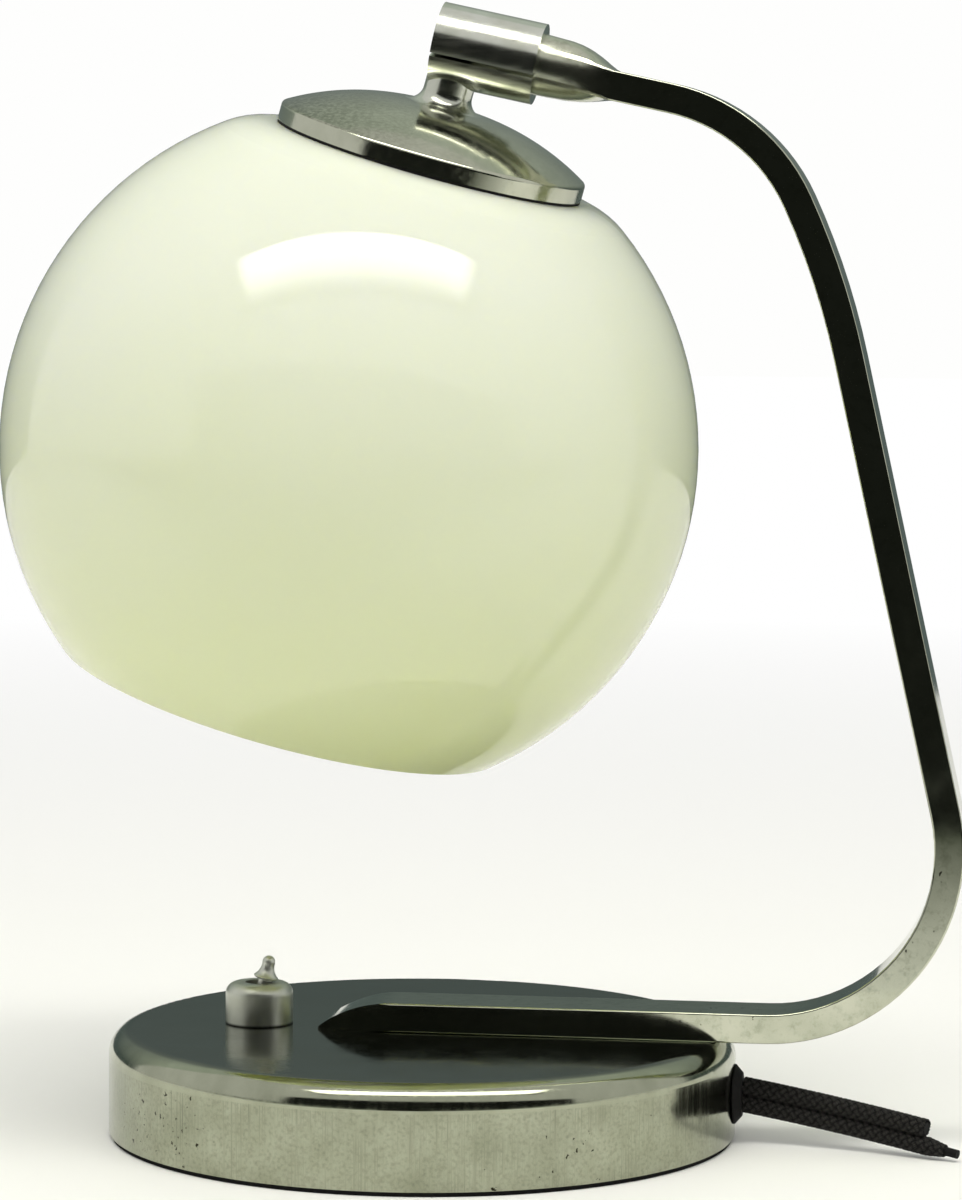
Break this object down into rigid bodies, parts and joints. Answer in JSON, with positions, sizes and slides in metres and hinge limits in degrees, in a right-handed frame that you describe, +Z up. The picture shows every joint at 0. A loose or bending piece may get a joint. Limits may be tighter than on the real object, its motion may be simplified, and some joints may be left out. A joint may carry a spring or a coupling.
{
  "type": "bedside lamp",
  "caption": "Bedside lamp with a tilting opal glass ball shade on a bent flattened-tube arm, a round weighted drum base and a toggle switch.",
  "frame": {"origin": "centre of the felt pad's underside, on the table, under the middle of the drum base", "axes": "+Z up; +X towards the arm's riser and the cord; the front is -Y"},
  "size_m": [0.2087, 0.15, 0.2424],
  "materials": {
    "nickel": "worn polished nickel plate",
    "opal_glass": "glossy opal",
    "bulb_glass": "frosted",
    "felt": "felt",
    "cast_iron": "as cast",
    "steel": "zinc plated",
    "brass": "plain",
    "bakelite": "moulded",
    "porcelain": "glazed",
    "rubber": "matt",
    "textile_flex": "braided",
    "lead": "matt"
  },
  "bodies": {
    "base": {"arm": "nickel", "arm_foot_block": "steel", "arm_lead": "lead", "arm_locating_screw": "steel", "arm_nipple": "steel", "arm_nut": "steel", "arm_washer": "steel", "base_lead": "textile_flex", "base_plate": "steel", "base_plate_screws": "steel", "base_shell": "nickel", "base_weight": "cast_iron", "cord_clip": "steel", "cord_clip_screws": "steel", "cord_grommet": "rubber", "cord_inner_core": "rubber", "felt_pad": "felt", "mains_cord": "textile_flex", "switch_body": "bakelite", "switch_bush": "brass", "switch_collar": "nickel", "switch_lead": "lead", "switch_panel_nut": "steel", "switch_pin": "steel", "switch_terminals": "brass"},
    "switch_lever": {"switch_lever": "nickel"},
    "shade": {"knuckle": "nickel", "knuckle_screw": "steel", "cap": "nickel", "upper_gasket": "rubber", "glass_shade": "opal_glass", "lower_gasket": "rubber", "clamp_disc": "steel", "shade_ring": "brass", "holder_nipple": "steel", "cap_nut": "steel", "holder_shell": "brass", "holder_insert": "porcelain", "holder_screw_shell": "brass", "holder_contact": "brass", "holder_terminals": "brass", "holder_lead": "lead", "bulb_tip": "brass", "bulb_cap": "brass", "bulb_glass": "bulb_glass"}
  },
  "joints": [
    {"name": "shade_tilt", "type": "hinge", "parent": "base", "child": "shade", "pos_m": [0.0068, 0, 0.2329], "axis": [0.9781, 0, -0.2079], "range_deg": [-93.6, 86.4]},
    {"name": "switch_toggle", "type": "hinge", "parent": "base", "child": "switch_lever", "pos_m": [-0.0358, 0, 0.0254], "axis": [0, 1, 0], "range_deg": [-22, 0]}
  ]
}
